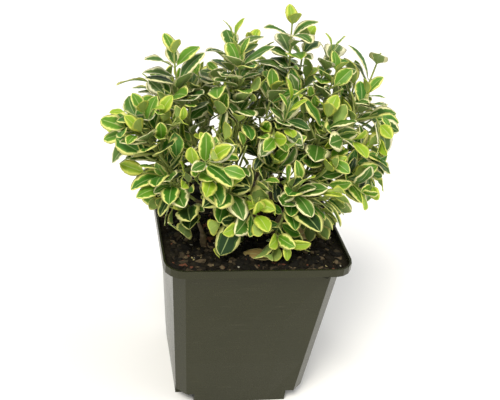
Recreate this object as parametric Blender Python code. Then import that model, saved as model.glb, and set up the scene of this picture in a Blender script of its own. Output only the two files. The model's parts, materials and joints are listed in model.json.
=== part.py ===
"""A small variegated evergreen shrub in a square nursery pot.

The clump has several woody stems that rise from the soil and part low down into boughs. Each bough
ends in a mass of leafy shoots. Leaves stand in opposite pairs, and each pair is turned a quarter
from the one below it.

Units are metres, +Z is up, the front of the pot faces -Y, and the origin is the middle of the
pot's flat underside.
"""

import math
import random

import bmesh
import bpy
from mathutils import Matrix, Vector
from mathutils.bvhtree import BVHTree
from mathutils.kdtree import KDTree

# Pot
POT_WIDTH = 0.110
POT_HEIGHT = 0.1106
BASE_WIDTH = 0.0794
SHOULDER_WIDTH = 0.0992
RIM_DEPTH = 0.0048
RIM_CORNER_RADIUS = 0.0115
BASE_CHAMFER = 0.0060
SHOULDER_CHAMFER = 0.0067
WALL = 0.0012
PANEL_BOW = 0.0013
NOTCH_WIDTH = 0.0105
NOTCH_HEIGHT = 0.0080
DRAIN_RADIUS = 0.0026

# Soil
SOIL_BELOW_RIM = 0.0025
GAP = 0.0003

# Plant
SOIL_LEVEL = POT_HEIGHT - SOIL_BELOW_RIM
STEM_RADIUS = 0.0021
STEM_TIP_RADIUS = 0.0015
BOUGH_RADIUS = 0.0012
ENTRY_RADIUS = 0.0010
TWIG_RADIUS = 0.0008
TIP_RADIUS = 0.0005
BOUGH_SHARE = 0.16
LEAF_LENGTH = 0.0235
LEAF_WIDTH_SHARE = 0.60
LEAF_THICKNESS = 0.0008
NODE_GAP = 0.0130
ROOT_DEPTH = 0.0002
TIP_PAIR_DROP = 0.0006
TIP_BUD = 0.0035
CURVE_PULL = 0.38
SPACE_MARGIN = 0.0005
BLADE_START = 0.14
SHOOT_STEPS = 7
CROWN_MIDDLE = (-0.003, 0.003)
CROWN_REACH = (0.088, 0.065)
CROWN_HEIGHT = 0.1330
DOME_HEIGHT = 0.100
SKIRT_REACH = 0.047
SKIRT_SLOPE = 1.2
SEED = 27

# Stems of the clump: name, foot azimuth and reach, top azimuth and reach, height.
# Azimuths are in degrees seen from above, from +X towards +Y.
STEMS = (
    ("west", 188, 0.0150, 182, 0.0210, 0.018),
    ("south_west", 217, 0.0370, 218, 0.0390, 0.008),
    ("south", 302, 0.0260, 300, 0.0280, 0.010),
    ("middle", 235, 0.0100, 232, 0.0150, 0.018),
    ("core", 25, 0.0050, 50, 0.0070, 0.026),
    ("east", 350, 0.0190, 348, 0.0250, 0.017),
    ("north_east", 40, 0.0190, 40, 0.0260, 0.019),
    ("north", 118, 0.0160, 116, 0.0240, 0.018),
)

# Shoots that lead the crown: mass, what the shoot grows from, the share of that length where it
# leaves, then the tip's azimuth, reach and height above the soil, and its lean from upright.
# The first shoot of a mass grows from a stem of the clump, the others from the first.
SHOOTS = (
    ("left_tall", "west", 1.00, 174, 0.051, 0.110, 5),
    ("left_out", "west", 0.80, 188, 0.068, 0.081, 20),
    ("left_out", "left_out", 0.30, 199, 0.073, 0.076, 35),
    ("left_back", "west", 0.62, 150, 0.060, 0.076, 20),
    ("left_low", "south_west", 1.00, 204, 0.064, 0.055, 35),
    ("left_low", "left_low", 0.32, 201, 0.060, 0.029, 70),
    ("left_low", "left_low", 0.12, 214, 0.052, 0.018, 75),
    ("front_left", "middle", 0.80, 220, 0.039, 0.064, 15),
    ("front_left", "front_left", 0.35, 242, 0.043, 0.050, 35),
    ("front_left", "front_left", 0.20, 264, 0.040, 0.034, 60),
    ("front_left", "front_left", 0.10, 240, 0.034, 0.018, 78),
    ("front_left", "front_left", 0.28, 270, 0.030, 0.050, 25),
    ("middle", "middle", 1.00, 180, 0.0146, 0.112, 2),
    ("middle", "middle", 0.45, 131, 0.024, 0.117, 4),
    ("middle", "middle", 0.10, 188, 0.024, 0.050, 40),
    ("centre", "core", 1.00, 350, 0.006, 0.092, 8),
    ("centre", "centre", 0.35, 308, 0.020, 0.086, 12),
    ("centre", "centre", 0.15, 285, 0.024, 0.058, 25),
    ("centre", "centre", 0.05, 318, 0.020, 0.040, 50),
    ("top_back", "core", 0.78, 53, 0.0315, 0.123, 0),
    ("top_back", "top_back", 0.50, 47, 0.044, 0.109, 10),
    ("front_right", "south", 1.00, 296, 0.042, 0.052, 20),
    ("front_right", "front_right", 0.35, 314, 0.045, 0.044, 45),
    ("front_right", "front_right", 0.20, 334, 0.047, 0.030, 65),
    ("front_right", "front_right", 0.12, 284, 0.040, 0.019, 70),
    ("right_front", "east", 1.00, 348, 0.039, 0.080, 8),
    ("right_front", "right_front", 0.35, 4, 0.054, 0.074, 15),
    ("right_front", "right_front", 0.15, 325, 0.045, 0.055, 30),
    ("right_out", "east", 0.80, 4, 0.064, 0.090, 10),
    ("right_out", "right_out", 0.35, 356, 0.068, 0.061, 35),
    ("right_out", "right_out", 0.20, 344, 0.060, 0.047, 50),
    ("right_crest", "north_east", 1.00, 18, 0.049, 0.099, 8),
    ("right_crest", "right_crest", 0.50, 27, 0.050, 0.109, 5),
    ("right_tall", "north_east", 0.80, 21, 0.083, 0.106, 15),
    ("right_tall", "right_tall", 0.55, 27, 0.075, 0.090, 15),
    ("back_right", "north_east", 0.60, 52, 0.062, 0.080, 25),
    ("back_mid", "north", 1.00, 88, 0.050, 0.098, 12),
    ("back_mid", "back_mid", 0.35, 75, 0.056, 0.072, 40),
    ("back_left", "north", 0.70, 122, 0.056, 0.078, 25),
)

# A lower shoot grows under each leader that reaches further out than this.
UNDER_REACH = 0.048

GREEN = (0.075, 0.190, 0.045)
BARK = (0.230, 0.210, 0.080)
POT_GREY = (0.060, 0.058, 0.036)
SOIL_BROWN = (0.022, 0.015, 0.010)


# Scene and materials

def clear_scene():
    """Remove every object of the open scene."""
    for item in list(bpy.data.objects):
        bpy.data.objects.remove(item, do_unlink=True)


def new_collection(name):
    """Make a collection under the scene and return it."""
    collection = bpy.data.collections.new(name)
    bpy.context.scene.collection.children.link(collection)
    return collection


def plain_material(name, colour, roughness):
    """Make a Principled material in one colour."""
    material = bpy.data.materials.new(name)
    material.use_nodes = True
    shader = material.node_tree.nodes["Principled BSDF"]
    shader.inputs["Base Color"].default_value = (*colour, 1.0)
    shader.inputs["Roughness"].default_value = roughness
    material.diffuse_color = (*colour, 1.0)
    return material


def add_object(name, mesh, material, collection):
    """Link a mesh as an object with one material."""
    item = bpy.data.objects.new(name, mesh)
    mesh.materials.append(material)
    collection.objects.link(item)
    return item


# Pot and soil

def square_ring(half, corner, height, bow=0.0, roundness=0.0):
    """Corner points of a square with cut or rounded corners and bowed sides, anticlockwise."""
    corner_steps = 4
    side_shares = (-0.5, 0.0, 0.5)
    points = []
    for quarter in range(4):
        turn = Matrix.Rotation(quarter * math.pi / 2, 3, "Z")
        for share in side_shares:
            side = Vector((share * (half - corner), -half - bow * (1 - share * share), height))
            points.append(turn @ side)
        for step in range(corner_steps + 1):
            share = step / corner_steps
            cut = Vector((half - corner + corner * share, -half + corner * share, height))
            angle = share * math.pi / 2
            arc = Vector((half - corner + corner * math.sin(angle),
                          -half + corner - corner * math.cos(angle), height))
            points.append(turn @ cut.lerp(arc, roundness))
    return points


def loft(rings):
    """Closed solid through rings of equal length, listed from the bottom up."""
    mesh_data = bmesh.new()
    loops = [[mesh_data.verts.new(point) for point in ring] for ring in rings]
    count = len(rings[0])
    for lower, upper in zip(loops, loops[1:]):
        for index in range(count):
            after = (index + 1) % count
            mesh_data.faces.new((lower[index], lower[after], upper[after], upper[index]))
    mesh_data.faces.new(list(reversed(loops[0])))
    mesh_data.faces.new(loops[-1])
    return mesh_data


def body_half_width(height, base=BASE_WIDTH, top=SHOULDER_WIDTH):
    """Half width of the tapering wall at a height."""
    return (base + (top - base) * height / (POT_HEIGHT - RIM_DEPTH)) / 2


def body_rings(inset, bottom, ledge, top, bow):
    """Rings of the pot's body and rim, moved in from the outer surface by the inset."""
    shoulder = POT_HEIGHT - RIM_DEPTH
    rings = []
    for share, bow_share in ((0.0, 0.0), (0.33, 0.85), (0.66, 1.0), (1.0, 0.2)):
        height = bottom + (ledge - bottom) * share
        half = body_half_width(min(height, shoulder)) - inset
        chamfer = BASE_CHAMFER + (SHOULDER_CHAMFER - BASE_CHAMFER) * share
        rings.append(square_ring(half, chamfer, height, bow * bow_share))
    rim_half = POT_WIDTH / 2 - inset
    rim_radius = RIM_CORNER_RADIUS - inset
    rings.append(square_ring(rim_half, rim_radius, ledge, 0.0, 1.0))
    rings.append(square_ring(rim_half, rim_radius, top, 0.0, 1.0))
    return rings


def mesh_object(name, mesh_data, material, collection):
    """Turn bmesh data into an object."""
    mesh = bpy.data.meshes.new(name)
    mesh_data.to_mesh(mesh)
    mesh_data.free()
    return add_object(name, mesh, material, collection)


def corner_boxes(grow, material, collection):
    """Boxes that cut the feet of the pot's four corners away."""
    half = BASE_WIDTH / 2
    reach = NOTCH_WIDTH + grow
    height = NOTCH_HEIGHT + grow
    boxes = []
    for quarter in range(4):
        data = bmesh.new()
        bmesh.ops.create_cube(data, size=1.0)
        size = Vector((2 * reach, 2 * reach, 2 * height))
        bmesh.ops.scale(data, vec=size, verts=data.verts)
        bmesh.ops.translate(data, vec=Vector((half, -half, 0.0)), verts=data.verts)
        bmesh.ops.rotate(data, cent=(0, 0, 0), verts=data.verts,
                         matrix=Matrix.Rotation(quarter * math.pi / 2, 3, "Z"))
        boxes.append(mesh_object(f"corner_box_{quarter}", data, material, collection))
    return boxes


def drain_cutters(material, collection):
    """Upright rods that bore the drain holes through the corner ceilings."""
    place = BASE_WIDTH / 2 - NOTCH_WIDTH * 0.52
    rods = []
    for quarter in range(4):
        data = bmesh.new()
        bmesh.ops.create_cone(data, cap_ends=True, segments=12, radius1=DRAIN_RADIUS,
                              radius2=DRAIN_RADIUS, depth=0.006)
        bmesh.ops.translate(data, vec=Vector((place, -place, NOTCH_HEIGHT)), verts=data.verts)
        bmesh.ops.rotate(data, cent=(0, 0, 0), verts=data.verts,
                         matrix=Matrix.Rotation(quarter * math.pi / 2, 3, "Z"))
        rods.append(mesh_object(f"drain_rod_{quarter}", data, material, collection))
    return rods


def combine(target, others, operation, solver="EXACT"):
    """Join or cut the target with a list of objects, apply it and remove the others."""
    group = bpy.data.collections.new("operands")
    for other in others:
        group.objects.link(other)
    boolean = target.modifiers.new("combine", "BOOLEAN")
    boolean.operation = operation
    boolean.operand_type = "COLLECTION"
    boolean.collection = group
    boolean.solver = solver
    evaluated = target.evaluated_get(bpy.context.evaluated_depsgraph_get())
    result = bpy.data.meshes.new_from_object(evaluated)
    target.modifiers.remove(boolean)
    target.data = result
    for other in others:
        bpy.data.objects.remove(other, do_unlink=True)
    bpy.data.collections.remove(group)


def make_pot(parts, cutters):
    """Thin square pot with a stepped rim, notched feet and four drain holes."""
    plastic = plain_material("pot_plastic", POT_GREY, 0.5)
    ledge = POT_HEIGHT - RIM_DEPTH
    pot = mesh_object("pot", loft(body_rings(0.0, 0.0, ledge, POT_HEIGHT, PANEL_BOW)), plastic, parts)
    hollow = loft(body_rings(WALL, WALL, ledge + WALL, POT_HEIGHT + WALL, PANEL_BOW))
    hollow = mesh_object("hollow", hollow, plastic, cutters)
    combine(hollow, corner_boxes(WALL, plastic, cutters), "DIFFERENCE")
    combine(pot, corner_boxes(0.0, plastic, cutters), "DIFFERENCE")
    combine(pot, [hollow], "DIFFERENCE")
    combine(pot, drain_cutters(plastic, cutters), "DIFFERENCE")
    return pot


def make_soil(parts, cutters):
    """Soil that fills the pot, a hair clear of its walls."""
    peat = plain_material("soil_peat", SOIL_BROWN, 0.95)
    inset = WALL + GAP
    ledge = POT_HEIGHT - RIM_DEPTH + inset
    soil = mesh_object("soil", loft(body_rings(inset, inset, ledge, SOIL_LEVEL, 0.0)), peat, parts)
    combine(soil, corner_boxes(inset, peat, cutters), "DIFFERENCE")
    return soil


# Growth rule

def spot(azimuth, reach, height):
    """Point of the crown from its bearing, distance from the middle and height above the soil."""
    angle = math.radians(azimuth)
    return Vector((reach * math.cos(angle), reach * math.sin(angle), SOIL_LEVEL + height))


def bend(start, start_way, end, end_way, steps):
    """Points of a smooth curve that leaves and arrives along the given ways."""
    pull = (end - start).length * CURVE_PULL
    first = start + start_way.normalized() * pull
    second = end - end_way.normalized() * pull
    points = []
    for step in range(steps + 1):
        t = step / steps
        u = 1 - t
        points.append(start * u ** 3 + first * 3 * u * u * t + second * 3 * u * t * t + end * t ** 3)
    return points


def point_along(points, share):
    """Point and way at a share of a polyline's length."""
    lengths = [(b - a).length for a, b in zip(points, points[1:])]
    target = share * sum(lengths)
    for a, b, length in zip(points, points[1:], lengths):
        if target <= length:
            return a.lerp(b, target / length), (b - a).normalized()
        target -= length
    return points[-1].copy(), (points[-1] - points[-2]).normalized()


def part_of(points, first, last):
    """The stretch of a polyline between two shares of its length."""
    steps = len(points) - 1
    return [point_along(points, first + (last - first) * step / steps)[0] for step in range(steps + 1)]


def length_of(points):
    """Length of a polyline."""
    return sum((b - a).length for a, b in zip(points, points[1:]))


def stem_path(stem):
    """Curve of one stem of the clump from the soil to its top."""
    name, foot_azimuth, foot_reach, top_azimuth, top_reach, height = stem
    foot = spot(foot_azimuth, foot_reach, GAP)
    top = spot(top_azimuth, top_reach, height)
    lean = (top - foot).normalized() + Vector((0, 0, 0.6))
    return bend(foot, Vector((0, 0, 1)), top, lean, 4)


def outward(azimuth, lean):
    """Way that leans out from upright towards an azimuth."""
    angle = math.radians(azimuth)
    tilt = math.radians(lean)
    return Vector((math.sin(tilt) * math.cos(angle), math.sin(tilt) * math.sin(angle), math.cos(tilt)))


def shoot_path(shoot, parent_points, clear):
    """Curve of a leading shoot to its tip, from a parent that its foot keeps clear of."""
    mass, parent, share, azimuth, reach, height, lean = shoot
    base, parent_way = point_along(parent_points, share)
    tip = spot(azimuth, reach, height - TIP_BUD)
    towards = (tip - base).normalized()
    if share == 1.0:
        start_way = (parent_way + towards * 0.7).normalized()
        start = base + start_way * GAP
    else:
        side = towards - parent_way * towards.dot(parent_way)
        start_way = (side.normalized() + parent_way * 0.8).normalized()
        start = base + side.normalized() * clear
    return bend(start, start_way, tip, outward(azimuth, lean), SHOOT_STEPS)


def under_shoot(leader):
    """A shoot below a leader that reaches far out, which fills the crown's flank."""
    mass, parent, share, azimuth, reach, height, lean = leader
    return (mass, mass, 0.18, azimuth + 9, reach * 0.80, height * 0.54, 45)


def leading_paths():
    """Paths of the clump's stems and of every leading shoot, by name."""
    stems = {stem[0]: stem_path(stem) for stem in STEMS}
    shoots = {}
    for shoot in SHOOTS:
        mass, parent, share = shoot[:3]
        if mass not in shoots:
            leader = shoot_path(shoot, stems[parent], STEM_RADIUS + BOUGH_RADIUS + GAP)
            shoots[mass] = [leader]
            below = [under_shoot(shoot)] if shoot[4] > UNDER_REACH else []
        else:
            below = [shoot]
        for side_shoot in below:
            from_share = BOUGH_SHARE + (1 - BOUGH_SHARE) * side_shoot[2]
            adjusted = (mass, mass, from_share, *side_shoot[3:])
            shoots[mass].append(shoot_path(adjusted, shoots[mass][0], 0.0))
    return stems, shoots


def spine_trees(shoots):
    """For each mass, a search tree of its own shoots' points and one of all the others'."""
    trees = {}
    for mass in shoots:
        own = [point for path in shoots[mass] for point in path[1:]]
        others = [point for name, paths in shoots.items() if name != mass
                  for path in paths for point in path[1:]]
        pair = []
        for points in (own, others):
            tree = KDTree(len(points))
            for index, point in enumerate(points):
                tree.insert(point, index)
            tree.balance()
            pair.append(tree)
        trees[mass] = pair
    return trees


class Crown:
    """What has grown so far: bounding balls and search trees of limbs, twigs and blades."""

    def __init__(self, shoots):
        self.spines = spine_trees(shoots)
        self.grown = []

    def is_own(self, point, mass):
        """Whether a point is nearer its own mass's shoots than any other's."""
        own, others = self.spines[mass]
        return own.find(point)[2] + SPACE_MARGIN < others.find(point)[2]

    def add(self, points, faces):
        """Remember a piece of the plant."""
        centre = sum(points, Vector()) / len(points)
        radius = max((point - centre).length for point in points)
        self.grown.append((centre, radius, BVHTree.FromPolygons(points, faces)))

    def is_clear(self, points, faces):
        """Whether a new piece touches nothing that has grown."""
        centre = sum(points, Vector()) / len(points)
        radius = max((point - centre).length for point in points)
        tree = None
        for other_centre, other_radius, other_tree in self.grown:
            if (centre - other_centre).length > radius + other_radius:
                continue
            if tree is None:
                tree = BVHTree.FromPolygons(points, faces)
            if tree.overlap(other_tree):
                return False
        return True


def tube_shell(points, radius):
    """Points and faces of a three-sided tube used for the clearance tests."""
    shell = []
    for index, point in enumerate(points):
        way = points[min(index + 1, len(points) - 1)] - points[max(index - 1, 0)]
        across = way.orthogonal().normalized()
        for corner in range(3):
            turn = Matrix.Rotation(corner * 2 * math.pi / 3, 3, way)
            shell.append(point + turn @ across * radius)
    faces = []
    for ring in range(len(points) - 1):
        for corner in range(3):
            a = ring * 3 + corner
            b = ring * 3 + (corner + 1) % 3
            faces.append((a, b, b + 3, a + 3))
    return shell, faces


def blade_shell(leaf):
    """Points and faces of a leaf's blade, clear of its root, for the clearance tests."""
    frame, length, width = leaf["frame"], leaf["length"], leaf["width"]
    half_thick = LEAF_THICKNESS * 0.5 + GAP
    outline = ((BLADE_START, 0.14), (0.30, 0.46), (0.50, 0.50), (0.72, 0.42), (1.0, 0.03),
               (0.72, -0.42), (0.50, -0.50), (0.30, -0.46), (BLADE_START, -0.14))
    rim = [Vector((x * length, y * width, 0.0)) for x, y in outline]
    above = Vector((length * 0.5, 0.0, half_thick))
    below = Vector((length * 0.5, 0.0, -half_thick))
    shell = [frame @ point for point in (*rim, above, below)]
    count = len(rim)
    faces = [(index, (index + 1) % count, count) for index in range(count)]
    faces += [((index + 1) % count, index, count + 1) for index in range(count)]
    return shell, faces


def leaf_frame(base, axis, side, spread):
    """Placing of a leaf: X along the blade, Z out of its upper side."""
    blade_way = (axis * math.cos(spread) + side * math.sin(spread)).normalized()
    upper = (axis * math.sin(spread) - side * math.cos(spread)).normalized()
    upper = (upper + Vector((0, 0, 0.45))).normalized()
    across = upper.cross(blade_way).normalized()
    upper = blade_way.cross(across).normalized()
    frame = Matrix((blade_way, across, upper)).transposed().to_4x4()
    frame.translation = base
    return frame


def pair_side(axis, turn):
    """Side of the stem that the first leaf of a pair stands on."""
    reference = Vector((0, 0, 1)).cross(axis)
    if reference.length < 0.2:
        reference = Vector((1, 0, 0)) - axis * axis.x
    return Matrix.Rotation(turn, 3, axis) @ reference.normalized()


def leaf_rank(from_tip, height, rng):
    """Length and spread of a leaf by how many pairs are above it, longer lower in the crown."""
    lengths = (0.56, 0.84, 1.0, 1.0)
    spreads = (28, 58, 72, 80)
    rank = min(from_tip, len(lengths) - 1)
    lower = 1.17 - 0.27 * height / CROWN_HEIGHT
    length = LEAF_LENGTH * lengths[rank] * lower * rng.uniform(0.9, 1.12)
    return length, math.radians(spreads[rank] + rng.uniform(-7, 7))


def in_crown(point, under_dome):
    """Whether a point lies inside the crown's outline, over its flared skirt and the soil."""
    across = (point.x - CROWN_MIDDLE[0]) / CROWN_REACH[0]
    deep = (point.y - CROWN_MIDDLE[1]) / CROWN_REACH[1]
    height = point.z - SOIL_LEVEL
    edge = across * across + deep * deep
    lowest = max(0.001, SKIRT_SLOPE * (math.hypot(point.x, point.y) - SKIRT_REACH))
    if under_dome:
        highest = DOME_HEIGHT * math.sqrt(max(0.0, 1 - 0.4 * edge))
    else:
        highest = CROWN_HEIGHT * math.sqrt(max(0.0, 1 - 0.2 * edge))
    return edge < 1 and lowest < height < highest


def may_grow(shell, faces, mass, crown, under_dome):
    """Whether a piece keeps to the crown and its mass's space and touches nothing."""
    if not all(in_crown(point, under_dome) for point in shell):
        return False
    if not all(crown.is_own(point, mass) for point in shell):
        return False
    return crown.is_clear(shell, faces)


def grow_leaf(base, axis, side, length, spread, mass, crown, under_dome):
    """One leaf that keeps clear, tried at a few spreads and sizes, or None."""
    for turn, size, more in ((0, 1, 0), (0, 1, -14), (12, 1, 10), (-12, 1, 10), (0, 0.84, 8),
                             (20, 0.84, -12), (-20, 0.84, -12), (34, 0.84, 0), (-34, 0.84, 0),
                             (0, 0.68, 0), (24, 0.68, 14), (-24, 0.68, 14)):
        turned = Matrix.Rotation(math.radians(turn), 3, axis) @ side
        frame = leaf_frame(base, axis, turned, spread + math.radians(more))
        leaf = {"frame": frame, "length": length * size, "width": length * size * LEAF_WIDTH_SHARE}
        shell, faces = blade_shell(leaf)
        if may_grow(shell, faces, mass, crown, under_dome):
            crown.add(shell, faces)
            return leaf
    return None


def nodes_along(points, first_gap):
    """Shares of a shoot where its leaf pairs stand, from the tip down."""
    total = length_of(points)
    shares = [1.0 - TIP_PAIR_DROP / total]
    gap = NODE_GAP * 0.62
    place = total - gap
    while place > first_gap:
        shares.append(place / total)
        gap = min(gap * 1.25, NODE_GAP)
        place -= gap
    return shares


def grow_pairs(points, first_gap, mass, crown, rng, leaves, under_dome):
    """Set opposite leaf pairs along a shoot and return the nodes that can branch."""
    turn = rng.uniform(0, math.pi)
    nodes = []
    for from_tip, share in enumerate(nodes_along(points, first_gap)):
        base, axis = point_along(points, share)
        side = pair_side(axis, turn + from_tip * math.pi / 2)
        nodes.append((from_tip, base, axis, side))
        for sign in (1, -1):
            length, spread = leaf_rank(from_tip, base.z - SOIL_LEVEL, rng)
            leaf = grow_leaf(base, axis, side * sign, length, spread, mass, crown, under_dome)
            if leaf:
                leaf["rank"] = from_tip
                leaves.append(leaf)
    return nodes


def grow_twigs(nodes, mass, crown, rng, twigs, leaves):
    """Straight side twigs from the lower nodes of a shoot, each with its own leaf pairs."""
    for from_tip, base, axis, side in nodes:
        if from_tip < 2:
            continue
        for sign in (1, -1):
            across = axis.cross(side) * sign
            length = LEAF_LENGTH * rng.uniform(0.7, 1.3)
            for lean, size in ((1.0, 1.0), (1.5, 1.0), (0.7, 1.0), (1.1, 0.6)):
                way = (axis + across * lean + Vector((0, 0, 0.15))).normalized()
                path = [base, base + way * length * size]
                shell, faces = tube_shell(part_of(path, 0.2, 1.0), TWIG_RADIUS + GAP)
                if may_grow(shell, faces, mass, crown, True):
                    crown.add(shell, faces)
                    twigs.append((path, TWIG_RADIUS, TIP_RADIUS))
                    grow_pairs(path, 0.006, mass, crown, rng, leaves, True)
                    break


def grow_mass(mass, paths, crown, rng):
    """All shoots, twigs and leaves of one mass."""
    leader = part_of(paths[0], BOUGH_SHARE + GAP / length_of(paths[0]), 1.0)
    shoots = [(leader, ENTRY_RADIUS, TIP_RADIUS)]
    shoots += [(path, TWIG_RADIUS * 1.1, TIP_RADIUS) for path in paths[1:]]
    twigs = []
    leaves = []
    nodes = []
    for path, _, _ in shoots:
        nodes += grow_pairs(path, NODE_GAP * 0.5, mass, crown, rng, leaves, False)
    grow_twigs(nodes, mass, crown, rng, twigs, leaves)
    return shoots, twigs, leaves


# Solids of the plant

def limb_mesh(name, points, start_radius, end_radius, sides, level_foot=False):
    """Closed tapering tube through points, from a bevelled curve, its foot cut level if asked."""
    curve = bpy.data.curves.new(name, "CURVE")
    curve.dimensions = "3D"
    curve.bevel_depth = 1.0
    curve.bevel_resolution = sides
    curve.use_fill_caps = True
    spline = curve.splines.new("POLY")
    spline.points.add(len(points) - 1)
    for index, (place, point) in enumerate(zip(spline.points, points)):
        place.co = (*point, 1.0)
        place.radius = start_radius + (end_radius - start_radius) * index / (len(points) - 1)
    guide = bpy.data.objects.new(name, curve)
    bpy.context.scene.collection.objects.link(guide)
    evaluated = guide.evaluated_get(bpy.context.evaluated_depsgraph_get())
    mesh = bpy.data.meshes.new_from_object(evaluated)
    bpy.data.objects.remove(guide, do_unlink=True)
    bpy.data.curves.remove(curve)
    data = bmesh.new()
    data.from_mesh(mesh)
    bmesh.ops.remove_doubles(data, verts=data.verts, dist=0.00002)
    bmesh.ops.recalc_face_normals(data, faces=data.faces)
    if level_foot:
        for vert in data.verts:
            if (vert.co - points[0]).length < start_radius * 1.1:
                vert.co.z = points[0].z
    data.to_mesh(mesh)
    data.free()
    return mesh


def leaf_mesh(leaf):
    """Blade of eight faces whose pointed root lies in its twig."""
    length = leaf["length"] + ROOT_DEPTH
    data = bmesh.new()
    bmesh.ops.create_uvsphere(data, u_segments=4, v_segments=2, radius=1.0)
    size = Vector((length / 2, leaf["width"] / 2, LEAF_THICKNESS / 2))
    bmesh.ops.scale(data, vec=size, verts=data.verts)
    bmesh.ops.translate(data, vec=Vector((length / 2 - ROOT_DEPTH, 0, 0)), verts=data.verts)
    bmesh.ops.transform(data, matrix=leaf["frame"], verts=data.verts)
    mesh = bpy.data.meshes.new("leaf")
    data.to_mesh(mesh)
    data.free()
    return mesh


def keep_largest_body(item):
    """Drop loose scraps and sealed hollows, which are the smaller closed shells."""
    data = bmesh.new()
    data.from_mesh(item.data)
    unseen = set(data.verts)
    groups = []
    while unseen:
        stack = [unseen.pop()]
        group = list(stack)
        while stack:
            for edge in stack.pop().link_edges:
                for vert in edge.verts:
                    if vert in unseen:
                        unseen.remove(vert)
                        stack.append(vert)
                        group.append(vert)
        groups.append(group)
    groups.sort(key=len)
    scraps = [vert for group in groups[:-1] for vert in group]
    bmesh.ops.delete(data, geom=scraps, context="VERTS")
    data.to_mesh(item.data)
    data.free()
    return len(groups) - 1


def make_limbs(stems, shoots, parts, crown):
    """Stems of the clump and one bough for each mass."""
    bark = plain_material("stem_bark", BARK, 0.7)
    for name, points in stems.items():
        mesh = limb_mesh(f"stem_{name}", points, STEM_RADIUS, STEM_TIP_RADIUS, 1, True)
        add_object(f"stem_{name}", mesh, bark, parts)
        crown.add(*tube_shell(points, STEM_RADIUS + GAP))
    for mass, paths in shoots.items():
        bough = part_of(paths[0], 0.0, BOUGH_SHARE)[::3]
        mesh = limb_mesh(f"bough_{mass}", bough, BOUGH_RADIUS, ENTRY_RADIUS, 1)
        add_object(f"bough_{mass}", mesh, bark, parts)
        crown.add(*tube_shell(bough, BOUGH_RADIUS + GAP))


def twig_mesh(path, start_radius, end_radius):
    """Straight three-sided twig."""
    start, end = path
    data = bmesh.new()
    bmesh.ops.create_cone(data, cap_ends=True, segments=3, radius1=start_radius,
                          radius2=end_radius, depth=(end - start).length)
    turn = (end - start).to_track_quat("Z", "Y").to_matrix().to_4x4()
    place = Matrix.Translation((start + end) / 2) @ turn
    bmesh.ops.transform(data, matrix=place, verts=data.verts)
    mesh = bpy.data.meshes.new("twig")
    data.to_mesh(mesh)
    data.free()
    return mesh


def is_closed(mesh):
    """Whether every edge of a mesh lies between two faces."""
    data = bmesh.new()
    data.from_mesh(mesh)
    closed = all(edge.is_manifold for edge in data.edges)
    data.free()
    return closed


def fuse(mass, shoots, twigs, leaves, green, parts, solver):
    """Join the shoots, twigs and leaves of one mass into one object."""
    pieces = []
    for points, start_radius, end_radius in shoots:
        mesh = limb_mesh("shoot", points, start_radius, end_radius, 0)
        pieces.append(add_object("shoot", mesh, green, parts))
    for path, start_radius, end_radius in twigs:
        pieces.append(add_object("twig", twig_mesh(path, start_radius, end_radius), green, parts))
    for leaf in leaves:
        pieces.append(add_object("leaf", leaf_mesh(leaf), green, parts))
    body = pieces[0]
    body.name = f"leaves_{mass}"
    combine(body, pieces[1:], "UNION", solver)
    return body


def make_mass(mass, shoots, twigs, leaves, green, parts):
    """One closed solid for a mass, with a leaf fewer each time that both solvers leave it open."""
    body = fuse(mass, shoots, twigs, leaves, green, parts, "EXACT")
    solvers = ("MANIFOLD", "EXACT")
    tries = 0
    while not is_closed(body.data):
        bpy.data.objects.remove(body, do_unlink=True)
        solver = solvers[tries % len(solvers)]
        if solver == "EXACT":
            leaves.pop(len(leaves) // 2)
        body = fuse(mass, shoots, twigs, leaves, green, parts, solver)
        tries += 1
    dropped = keep_largest_body(body)
    triangles = sum(len(face.vertices) - 2 for face in body.data.polygons)
    print(f"{body.name}: {len(shoots)} shoots, {len(twigs)} twigs, {len(leaves)} leaves, "
          f"{triangles} triangles, {dropped} scraps dropped, {tries} joins repeated")


def main():
    """Build the potted shrub."""
    clear_scene()
    parts = new_collection("variegated_shrub")
    cutters = new_collection("cutters")
    make_pot(parts, cutters)
    make_soil(parts, cutters)
    stems, shoots = leading_paths()
    crown = Crown(shoots)
    make_limbs(stems, shoots, parts, crown)
    green = plain_material("leaf_green", GREEN, 0.5)
    for mass, paths in shoots.items():
        for path in paths:
            crown.add(*tube_shell(part_of(path, BOUGH_SHARE + 0.02, 1.0), ENTRY_RADIUS))
    for index, (mass, paths) in enumerate(shoots.items()):
        grown = grow_mass(mass, paths, crown, random.Random(SEED + index))
        make_mass(mass, *grown, green, parts)


main()
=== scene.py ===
# %% [markdown]
# # A variegated shrub in a square pot
#
# This lesson dresses a plain model of a small evergreen shrub with cream-edged leaves in a square
# nursery pot. The plain model gives every size and place. We write the growth rule of its stems and
# leaves again, hang real leaf shapes on the same twigs, and add finer twigs between them. Modelling
# each leaf by hand would take days, and a leaf picture on flat cards would look flat from the side.
# Most cells print what they made, so the numbers can be checked while reading.

import json
import math
import random

import bmesh
import bpy
import numpy as np
from mathutils import Matrix, Vector
from mathutils.bvhtree import BVHTree
from mathutils.kdtree import KDTree
from mathutils.noise import noise

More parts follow.
